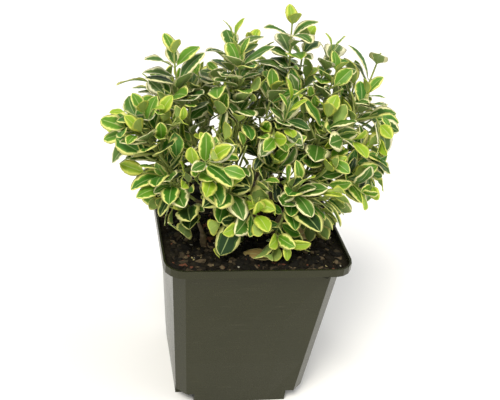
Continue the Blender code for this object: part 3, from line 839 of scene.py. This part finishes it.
# %%
BLADE_ROWS = 18
STALK_SHARE = 0.10
STALK_HALF_WIDTH = 0.00045
LEAF_SHEET = 0.00022
RIB_SHARE = 0.050
VEIN_RELIEF = 0.00045
RIB_GROOVE = 0.00012
WIDEST_PLACE = 0.42
TIP_TAPER = 0.16
TOOTH_CHANCE = 0.035
TOOTH_STEP = 0.03
# Waves of an irregular line: how many along the leaf, and how large.
BORDER_WAVES = ((0.9, 0.45), (2.3, 0.30), (4.7, 0.25))
BORDER_JITTER = 0.28
BORDER_WANDER = 0.16
# How much of the half width is cream, and how wide the paler band is.
CREAM_SHARES = (0.16, 0.40)
BAND_SHARES = (0.05, 0.16)
# Ranges of the bend of a leaf: fold along the rib, arch, droop, curled edge and waved edge.
KEELS = (0.10, 0.34)
ARCHES = (0.02, 0.09)
DROOPS = (-0.02, 0.14)
CURLS = (0.0, 0.22)
WAVES = (0.0, 0.05)
# Columns of the upper side that the underside keeps.
UNDER_COLUMNS = (1, 4, 5, 8)


def half_widths(rows, rng):
    """Half width of the blade for each row, as shares of the widest, with small teeth."""
    t = np.linspace(0.0, 1.0, rows)
    s = 0.45 * t + 0.55 * (1 - np.cos(np.pi * t)) / 2
    taper = rng.uniform(0.68, 0.86)
    shape = (2 * np.sqrt(s * (1 - s))) ** rng.uniform(1.02, 1.30)
    narrowing = taper + (1 - taper) * np.minimum(1, s / WIDEST_PLACE)
    shape = shape * narrowing * (1 - TIP_TAPER * s ** 3)
    teeth = np.array([rng.uniform(-TOOTH_CHANCE, TOOTH_CHANCE) + TOOTH_STEP * (row % 2)
                      for row in range(rows)])
    shape = shape * (1 + teeth)
    shape[-1] = 0.02
    return s, shape


def wander(s, rng, amount):
    """A smooth irregular line."""
    total = np.zeros_like(s)
    for waves, size in BORDER_WAVES:
        total += size * np.sin(waves * math.tau * s + rng.uniform(0, math.tau))
    total += np.array([rng.uniform(-BORDER_JITTER, BORDER_JITTER) for _ in s])
    return amount * total


def leaf_arrays(leaf, tone, rng):
    """Points, faces and paint slots of one leaf."""
    length, width = leaf["length"], leaf["width"]
    s, shape = half_widths(BLADE_ROWS, rng)
    x = np.concatenate(([0.0, STALK_SHARE * 0.5], STALK_SHARE + (1 - STALK_SHARE) * s)) * length
    half = np.concatenate(([0.0, 0.0], shape * width / 2))
    stalk = np.concatenate(([1.2, 1.0], np.clip(1 - s * 1.3, 0.0, 1.0)))
    half = np.maximum(half, STALK_HALF_WIDTH * stalk)
    along = np.concatenate(([0.0, 0.0], s))
    ends = np.clip((1.0 - along) / 0.16, 0, 1) * np.clip((along + 0.02) / 0.12, 0, 1)
    cream = rng.uniform(*CREAM_SHARES)
    columns = []
    for sign in (-1, 1):
        border = (1 - cream + wander(along, rng, BORDER_WANDER)) * ends ** 0.5
        border = np.clip(border, 0.10, 0.95)
        inner = border - rng.uniform(*BAND_SHARES) - 0.05 * (1 + wander(along, rng, 1.0))
        inner = np.clip(inner, 0.085, 0.9)
        inner = np.minimum(inner, border - 0.01)
        columns.append((sign, border, inner))
    left, right = columns
    shares = np.stack([-np.ones_like(along), -left[1], -left[2], -left[2] * 0.5,
                       -np.full_like(along, RIB_SHARE), np.full_like(along, RIB_SHARE), right[2] * 0.5,
                       right[2], right[1], np.ones_like(along)], axis=1)
    y = shares * half[:, None]
    keel = rng.uniform(*KEELS)
    arch = rng.uniform(*ARCHES) * length
    droop = rng.uniform(*DROOPS) * length
    curl = rng.uniform(*CURLS)
    wave = rng.uniform(*WAVES) * width
    spine = arch * np.sin(np.pi * along) - droop * along ** 2
    z = spine[:, None] + keel * np.abs(y) - curl * np.abs(shares) ** 3 * half[:, None]
    on_blade = (half > 0.001)[:, None]
    sway = np.sin(math.tau * 1.6 * along + rng.uniform(0, 6))[:, None]
    z += wave * np.abs(shares) ** 2 * sway * on_blade
    z -= RIB_GROOVE * (np.abs(shares) < 0.08)
    ripple = np.cos(np.pi * np.arange(len(along)))[:, None] * np.abs(shares) * (1 - np.abs(shares))
    z += VEIN_RELIEF * ripple * on_blade
    rows, count = shares.shape
    top = np.stack([np.repeat(x[:, None], count, 1), y, z], axis=2).reshape(-1, 3)
    kept = len(UNDER_COLUMNS)
    below = np.stack([np.repeat(x[:, None], kept, 1), y[:, UNDER_COLUMNS],
                      z[:, UNDER_COLUMNS] - LEAF_SHEET], axis=2).reshape(-1, 3)
    base = tone_slots[tone]
    middle, band, margin, rib, under = range(base, base + 5)
    top_paint = (margin, band, middle, middle, rib, middle, middle, band, margin)
    faces = []
    paints = []
    for row in range(rows - 1):
        for column in range(count - 1):
            a = row * count + column
            faces.append((a, a + count, a + count + 1, a + 1))
            paints.append(rib if row < 2 else top_paint[column])
    first = rows * count
    edge = {0: 0, kept + 1: count - 1}
    for row in range(rows - 1):
        for column in range(kept + 1):
            corners = []
            for r, c in ((row, column), (row, column + 1), (row + 1, column + 1), (row + 1, column)):
                if c in edge:
                    corners.append(r * count + edge[c])
                else:
                    corners.append(first + r * kept + c - 1)
            faces.append(tuple(corners))
            paints.append(rib if row < 2 else (margin, under, rib, under, margin)[column])
    matrix = np.array(leaf["frame"])
    points = np.concatenate([top, below]) @ matrix[:3, :3].T + matrix[:3, 3]
    return points, faces, paints


# %% [markdown]
# ## Dealing out the tones
#
# Young pairs at the tips are lime. Large leaves near the soil at the front are deep green with a darker
# yellow margin: that darkness is painted shade under the crown. The rest are dealt out between, paler
# and whiter higher up, and the darker tones that are dealt more often low and at the front are painted
# shade too. All leaves of one mass become one piece, which takes the place of that mass.

# %%
# Length and height that mark the large low front leaves that are painted in shade.
PAINTED_SHADE_LENGTH = 0.0222
PAINTED_SHADE_HEIGHT = 0.036
FRONT_HEIGHT = 0.062
LOW_HEIGHT = 0.045
TIP_TONES = ("lime", "fresh")
SECOND_TONES = ("fresh", "mid_white", "mid_white", "mid_yellow")
# The front and low lists hold darker tones more often: painted shade low in the crown.
FRONT_TONES = ("painted_shade_yellow", "painted_shade_yellow", "mid_yellow", "mid_yellow", "mid_white")
LOW_TONES = ("deep_white", "painted_shade_yellow", "mid_yellow", "mid_white")
UPPER_TONES = ("deep_white", "deep_white", "mid_white", "mid_white", "grey_white", "grey_white",
               "fresh")
LEAVES_SEED = 1000


def tone_of(leaf, rng):
    """Paint family of a leaf from its place in the crown."""
    place = leaf["frame"].translation
    height = place.z - SOIL_LEVEL
    if leaf["rank"] == 0:
        return rng.choice(TIP_TONES)
    # Large leaves low at the front all get the darkest tone, as painted shade.
    if height < PAINTED_SHADE_HEIGHT and place.y < 0.0 and leaf["length"] > PAINTED_SHADE_LENGTH:
        return "painted_shade_yellow"
    if leaf["rank"] == 1:
        return rng.choice(SECOND_TONES)
    if height < FRONT_HEIGHT and place.y < 0.0:
        return rng.choice(FRONT_TONES)
    if height < LOW_HEIGHT:
        return rng.choice(LOW_TONES)
    return rng.choice(UPPER_TONES)


def finish_mesh(name, points, faces, paints, materials, smooth=True):
    """A mesh object from arrays, with one paint slot for each face."""
    mesh = bpy.data.meshes.new(name)
    mesh.from_pydata([tuple(point) for point in points], [], faces)
    for material in materials:
        mesh.materials.append(material)
    mesh.polygons.foreach_set("material_index", np.array(paints, dtype=np.int32))
    mesh.polygons.foreach_set("use_smooth", np.full(len(faces), smooth))
    mesh.validate()
    item = bpy.data.objects.new(name, mesh)
    bpy.context.scene.collection.objects.link(item)
    return item


def leaves_object(name, leaves, tone_rule, rng):
    """One piece from many leaves."""
    all_points, all_faces, all_paints, offset = [], [], [], 0
    for leaf in leaves:
        points, faces, paints = leaf_arrays(leaf, tone_rule(leaf, rng), rng)
        all_points.append(points)
        all_faces += [tuple(corner + offset for corner in face) for face in faces]
        all_paints += paints
        offset += len(points)
    item = finish_mesh(name, np.concatenate(all_points), all_faces, all_paints, leaf_materials)
    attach(item, "root")
    print(name, len(leaves), "leaves,", len(all_faces) * 2, "triangles")
    return item


for index, (mass, (_, _, leaves)) in enumerate(grown.items()):
    rng = random.Random(LEAVES_SEED + index)
    foliage = leaves_object(f"foliage_{mass}", leaves, tone_of, rng)
    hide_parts(f"leaves_{mass}")

# %% [markdown]
# ## Shoots, twigs, boughs and stems
#
# Old stems are brown and rough, young shoots are yellow green and nearly smooth. A curve with a bevel
# gives a smooth tube. These are tubes of many rings, so that noise can move each point and make a
# relief that is in the mesh itself.

# %%
GREEN_BARK = (0.430, 0.480, 0.130)
BROWN_BARK = (0.200, 0.150, 0.075)


def bark_paint(name, colour, dark):
    """Bark with fine lengthwise streaks."""
    paint = Paint(name, colour, 0.6)
    streaks = paint.noise(500.0, 4.0, (1.0, 1.0, 0.25))
    blotches = paint.noise(120.0, 2.0)
    paint.set("Base Color", paint.mix((streaks * 0.7 + blotches * 0.6 - 0.15).clamp(), dark, colour))
    paint.bump(streaks, 0.0003, 0.5)
    return paint.material


green_bark = bark_paint("bark_green", GREEN_BARK, (0.230, 0.290, 0.070))
brown_bark = bark_paint("bark_brown", BROWN_BARK, (0.060, 0.045, 0.022))


# Sides, length of a ring's step and roughness of each kind of tube.
STEM_TUBE = (10, 0.0012, 0.16)
BOUGH_TUBE = (8, 0.0012, 0.12)
SHOOT_TUBE = (7, 0.0022, 0.08)
TWIG_TUBE = (6, 0.0030, 0.06)
BARK_GRAIN = 900


def tube_arrays(path, start_radius, end_radius, sides, step, rough):
    """Points and faces of a closed round tube along a polyline."""
    rings = max(2, int(length_of(path) / step))
    points = []
    faces = []
    across = None
    for ring in range(rings + 1):
        share = ring / rings
        centre, way = point_along(path, share)
        if across is None:
            across = way.orthogonal().normalized()
        across = (across - way * across.dot(way)).normalized()
        radius = start_radius + (end_radius - start_radius) * share
        for side in range(sides):
            out = Matrix.Rotation(side * math.tau / sides, 3, way) @ across
            uneven = 1 + rough * noise((centre + out * radius) * BARK_GRAIN)
            points.append(centre + out * radius * uneven)
    for ring in range(rings):
        for side in range(sides):
            a = ring * sides + side
            b = ring * sides + (side + 1) % sides
            faces.append((a, b, b + sides, a + sides))
    faces.append(tuple(range(sides - 1, -1, -1)))
    faces.append(tuple(rings * sides + side for side in range(sides)))
    return points, faces


def tubes_object(name, tubes, material, nodes):
    """One piece from several tubes, standing for the given nodes."""
    points, faces = [], []
    for tube in tubes:
        tube_points, tube_faces = tube_arrays(*tube)
        faces += [tuple(corner + len(points) for corner in face) for face in tube_faces]
        points += tube_points
    item = finish_mesh(name, points, faces, [0] * len(faces), [material])
    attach(item, "root")
    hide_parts(*nodes)
    print(name, len(faces), "faces")


stem_tubes = [(points, STEM_RADIUS, STEM_TIP_RADIUS, *STEM_TUBE) for points in stems.values()]
tubes_object("bark_stems", stem_tubes, brown_bark, [f"stem_{name}" for name in stems])
bough_tubes = [(part_of(paths[0], 0.0, BOUGH_SHARE + 0.01), BOUGH_RADIUS, ENTRY_RADIUS, *BOUGH_TUBE)
               for paths in shoots.values()]
tubes_object("bark_boughs", bough_tubes, brown_bark, [f"bough_{mass}" for mass in shoots])
shoot_tubes = []
for mass_shoots, mass_twigs, _ in grown.values():
    shoot_tubes += [(path, start, end, *SHOOT_TUBE) for path, start, end in mass_shoots]
    shoot_tubes += [(path, start, end, *TWIG_TUBE) for path, start, end in mass_twigs]
tubes_object("green_shoots", shoot_tubes, green_bark, [])

# %% [markdown]
# ## Soil
#
# Potting soil is dark peat with broken bark, a few reddish chips, pale grit and fallen leaves. One
# uneven grid with corners rounded to the pot gives the peat, and its skirt closes the body down to
# the floor of the pot. The chips are low balls of twenty faces, pushed out of shape one by one:
# bump in a material alone would look flat at the edge and would not be in the mesh.

# %%
SOIL_CELLS = 96
SOIL_SINK = 0.0006
# Scale and height of the three sizes of unevenness.
SOIL_WAVES = ((60, 0.0016), (190, 0.0011), (520, 0.0007))


def soil_height(x, y):
    """Unevenness of the soil at a place."""
    place = Vector((x, y, 0.0))
    return sum(height * noise(place * scale) for scale, height in SOIL_WAVES)


def soil_paint():
    """Dark peat with fine grain."""
    paint = Paint("soil_peat", (0.022, 0.016, 0.009), 0.9)
    grain = paint.noise(900.0, 4.0)
    clumps = paint.noise(160.0, 3.0)
    share = (grain * 1.4 + clumps - 0.75).clamp()
    paint.set("Base Color", paint.mix(share, (0.003, 0.0025, 0.0015), (0.022, 0.017, 0.009)))
    paint.bump(grain, 0.0008, 0.9)
    paint.fix("Specular IOR Level", 0.15)
    return paint.material


# Colours of the chips from peat to grit, how often each is dealt out, and their sizes. The last
# two kinds are small grit.
CHIP_COLOURS = ((0.006, 0.005, 0.003), (0.014, 0.011, 0.006), (0.044, 0.033, 0.019),
                (0.120, 0.088, 0.050), (0.130, 0.048, 0.026), (0.420, 0.350, 0.160),
                (0.520, 0.500, 0.400))
CHIP_SHARES = (42, 26, 13, 8, 3, 3, 5)
GRIT_FROM = 5
CHIP_SIZES = (0.0007, 0.0023)
GRIT_SIZES = (0.0003, 0.0008)
LARGE_CHIP_CHANCE = 0.04
LARGE_CHIP_SIZE = 1.7
CHIP_ROUGHNESS = 0.35
CHIPS = 2600
CHIP_SEED = 5


def chip_paint(number, colour):
    """Broken bark, wood or grit."""
    paint = Paint(f"soil_chip_{number}", colour, 0.85)
    grain = paint.noise(1400.0, 3.0)
    dark = tuple(0.55 * c for c in colour)
    light = tuple(min(1.0, 1.35 * c) for c in colour)
    paint.set("Base Color", paint.mix(grain, dark, light))
    paint.bump(grain, 0.0003, 0.7)
    paint.fix("Specular IOR Level", 0.20)
    return paint.material


def make_soil():
    """Soil body with an uneven top."""
    half = POT_WIDTH / 2 - WALL - GAP
    points, faces = [], []
    for row in range(SOIL_CELLS + 1):
        for column in range(SOIL_CELLS + 1):
            x = half * (2 * column / SOIL_CELLS - 1)
            y = half * (2 * row / SOIL_CELLS - 1)
            corner = RIM_CORNER_RADIUS - WALL
            over_x = max(0.0, abs(x) - (half - corner))
            over_y = max(0.0, abs(y) - (half - corner))
            reach = math.hypot(over_x, over_y)
            if reach > corner:
                x = math.copysign(half - corner + over_x * corner / reach, x)
                y = math.copysign(half - corner + over_y * corner / reach, y)
            points.append((x, y, SOIL_LEVEL - SOIL_SINK + soil_height(x, y)))
    line = SOIL_CELLS + 1
    for row in range(SOIL_CELLS):
        for column in range(SOIL_CELLS):
            a = row * line + column
            faces.append((a, a + 1, a + 1 + line, a + line))
    rim = (list(range(line))
           + [row * line + SOIL_CELLS for row in range(1, line)]
           + [SOIL_CELLS * line + column for column in range(SOIL_CELLS - 1, -1, -1)]
           + [row * line for row in range(SOIL_CELLS - 1, 0, -1)])
    ledge = POT_HEIGHT - RIM_DEPTH
    shoulder, base = SHOULDER_WIDTH / POT_WIDTH, BASE_WIDTH / POT_WIDTH
    levels = ((ledge + 0.0016, 0.0, 1.0), (ledge + 0.0015, WALL, shoulder),
              (WALL + GAP + 0.0085, WALL, base), (WALL + GAP, WALL + 0.010, base))
    previous = rim
    for height, inset, scale in levels:
        start = len(points)
        for corner in rim:
            x, y, _ = points[corner]
            size = scale * (1 - inset / half)
            points.append((x * size, y * size, height))
        ring = list(range(start, start + len(rim)))
        for index in range(len(rim)):
            after = (index + 1) % len(rim)
            faces.append((previous[after], previous[index], ring[index], ring[after]))
        previous = ring
    faces.append(tuple(reversed(previous)))
    item = finish_mesh("soil_surface", points, faces, [0] * len(faces), [soil_paint()])
    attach(item, "root")
    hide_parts("soil")
    print("soil faces:", len(faces))


def make_chips(count):
    """Chips and grains scattered over the soil."""
    rng = random.Random(CHIP_SEED)
    points, faces, paints = [], [], []
    half = POT_WIDTH / 2 - WALL - 0.003
    for _ in range(count):
        x, y = rng.uniform(-half, half), rng.uniform(-half, half)
        paint = rng.choices(range(len(CHIP_COLOURS)), CHIP_SHARES)[0]
        size = rng.uniform(*(CHIP_SIZES if paint < GRIT_FROM else GRIT_SIZES))
        if rng.random() < LARGE_CHIP_CHANCE and paint < GRIT_FROM:
            size *= LARGE_CHIP_SIZE
        data = bmesh.new()
        bmesh.ops.create_icosphere(data, subdivisions=1, radius=size)
        stretch = Vector((rng.uniform(0.8, 1.7), rng.uniform(0.5, 1.0), rng.uniform(0.3, 0.7)))
        turn = Matrix.Rotation(rng.uniform(0, math.tau), 3, "Z")
        turn = turn @ Matrix.Rotation(rng.uniform(-0.5, 0.5), 3, "X")
        place = Vector((x, y, SOIL_LEVEL - 0.0004 + soil_height(x, y)))
        start = len(points)
        for vert in data.verts:
            rough = 1 + CHIP_ROUGHNESS * rng.uniform(-1, 1)
            points.append(turn @ (vert.co * stretch * rough) + place)
        for face in data.faces:
            faces.append(tuple(start + vert.index for vert in face.verts))
            paints.append(paint)
        data.free()
    materials = [chip_paint(number, colour) for number, colour in enumerate(CHIP_COLOURS)]
    item = finish_mesh("soil_chips", points, faces, paints, materials, smooth=False)
    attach(item, "root")
    print("chips:", count)


# Fallen leaves: place on the soil in millimetres, heading and roll in degrees, and length.
FALLEN_SEED = 3
FALLEN_RANK = 9
FALLEN_HEIGHT = 0.0016
FALLEN_NARROWING = 0.8
FALLEN = ((24, -20, 35, 30, 19), (11, -41, 160, -12, 20), (33, -31, 100, 20, 11), (-6, 40, 250, 15, 17))


def fallen_leaf(x, y, heading, roll, length):
    """A dry leaf that lies on the soil."""
    turn = Matrix.Rotation(math.radians(heading), 4, "Z")
    turn = turn @ Matrix.Rotation(math.radians(roll), 4, "X")
    place = Matrix.Translation((x / 1000, y / 1000, SOIL_LEVEL + FALLEN_HEIGHT))
    size = length / 1000
    return {"frame": place @ turn, "length": size,
            "width": size * LEAF_WIDTH_SHARE * FALLEN_NARROWING, "rank": FALLEN_RANK}


make_soil()
make_chips(CHIPS)
leaves_object("fallen_leaves", [fallen_leaf(*item) for item in FALLEN],
              lambda leaf, rng: "dry", random.Random(FALLEN_SEED))

# %% [markdown]
# ## Pot
#
# The pot keeps the plain model's shape, because a moulded pot is as plain as that. Its plastic is
# nearly black with a warm satin gloss, which mirrors the pale floor and so looks olive grey. Soft
# clouds, a fine grain and faint level scratches keep it from looking like paint.

# %%
def pot_paint():
    """Moulded plastic, satin and slightly scuffed."""
    paint = Paint("pot_plastic", (0.055, 0.052, 0.028), 0.5)
    cloud = paint.noise(38.0, 4.0)
    grain = paint.noise(1600.0, 2.0)
    scratches = paint.noise(420.0, 3.0, (0.12, 0.12, 2.6))
    worn = (scratches * 3.2 - 1.95).clamp()
    base = paint.mix(cloud, (0.009, 0.011, 0.0045), (0.016, 0.017, 0.008))
    paint.set("Base Color", paint.mix(worn * 0.30, base, (0.105, 0.098, 0.062)))
    paint.set("Roughness", (0.17 + 0.10 * cloud + 0.10 * grain).clamp())
    paint.fix("Specular IOR Level", 0.44)
    paint.fix("Specular Tint", (1.0, 0.96, 0.68, 1.0))
    paint.bump(grain * 0.6 + scratches * 0.4, 0.00025, 0.35)
    return paint.material


pot = frame["nodes"]["pot"]
pot_material = pot_paint()
for slot in pot.material_slots:
    slot.material = pot_material
print("pot slots:", len(pot.material_slots))

# %% [markdown]
# ## Floor, light and camera
#
# A pale floor, a bright room, a broad warm lamp from the upper left and a weaker one from the right
# stand for a photographer's table. The camera looks down at the pot from the front, a little from
# the left, and is turned a little about its own line of sight. Its numbers were worked out from the
# corners of the pot's rim and its upright edges.

# %%
CAMERA_PLACE = Vector((-0.1099, -0.4621, 0.3932))
CAMERA_YAW = math.radians(13.46)
CAMERA_PITCH = math.radians(29.46)
CAMERA_ROLL = math.radians(6.93)
FOCAL_PIXELS = 901.5
SENSOR_WIDTH = 36.0
IMAGE_WIDTH = 500
NEAR_LIMIT = 0.01
FLOOR_HALF_SIZE = 60.0
FLOOR_COLOUR = (0.93, 0.93, 0.93)
ROOM_STRENGTH = 0.62
# Lamps: name, place that they shine from, strength, softness in degrees and colour.
LAMPS = (("key", (-0.40, -0.60, 1.0), 2.5, 25.0, (1.0, 0.96, 0.86)),
         ("fill", (0.9, -0.3, 0.9), 0.6, 50.0, (1.0, 0.98, 0.94)))


def make_camera():
    """Camera from its place, heading, dip and roll."""
    forward = Vector((math.sin(CAMERA_YAW) * math.cos(CAMERA_PITCH),
                      math.cos(CAMERA_YAW) * math.cos(CAMERA_PITCH), -math.sin(CAMERA_PITCH)))
    level = Vector((math.cos(CAMERA_YAW), -math.sin(CAMERA_YAW), 0.0))
    upright = level.cross(forward)
    right = level * math.cos(CAMERA_ROLL) + upright * math.sin(CAMERA_ROLL)
    up = upright * math.cos(CAMERA_ROLL) - level * math.sin(CAMERA_ROLL)
    lens = bpy.data.cameras.new("camera")
    lens.sensor_width = SENSOR_WIDTH
    lens.lens = FOCAL_PIXELS / IMAGE_WIDTH * SENSOR_WIDTH
    lens.clip_start = NEAR_LIMIT
    camera = bpy.data.objects.new("camera", lens)
    matrix = Matrix((right, up, -forward)).transposed().to_4x4()
    matrix.translation = CAMERA_PLACE
    camera.matrix_world = matrix
    bpy.context.scene.collection.objects.link(camera)
    bpy.context.scene.camera = camera


def sun(name, place, strength, softness, colour):
    """Distant lamp that shines from a place towards the pot."""
    lamp = bpy.data.lights.new(name, "SUN")
    lamp.energy = strength
    lamp.color = colour
    lamp.angle = math.radians(softness)
    item = bpy.data.objects.new(name, lamp)
    item.rotation_euler = (-Vector(place)).to_track_quat("-Z", "Y").to_euler()
    bpy.context.scene.collection.objects.link(item)


def make_studio():
    """Floor, room light and lamps."""
    data = bmesh.new()
    bmesh.ops.create_grid(data, x_segments=2, y_segments=2, size=FLOOR_HALF_SIZE)
    mesh = bpy.data.meshes.new("floor")
    data.to_mesh(mesh)
    data.free()
    floor = bpy.data.objects.new("floor", mesh)
    mesh.materials.append(Paint("floor_pale", FLOOR_COLOUR, 0.9).material)
    bpy.context.scene.collection.objects.link(floor)
    floor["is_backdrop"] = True
    world = bpy.data.worlds.new("room")
    world.use_nodes = True
    background = world.node_tree.nodes["Background"]
    background.inputs["Color"].default_value = (1.0, 1.0, 1.0, 1.0)
    background.inputs["Strength"].default_value = ROOM_STRENGTH
    bpy.context.scene.world = world
    for lamp in LAMPS:
        sun(*lamp)
    bpy.context.scene.view_settings.view_transform = "Standard"


make_camera()
make_studio()
print("lamps:", len(LAMPS))

# %% [markdown]
# ## Sizes and the end
#
# The box of the dressed plant goes beside the box of the plain model, so the two can be compared.

# %%
low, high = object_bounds()
for title, size in (("plain", cad_high - cad_low), ("dressed", high - low)):
    print(title, "size in millimetres:", [round(v * 1000, 1) for v in size])
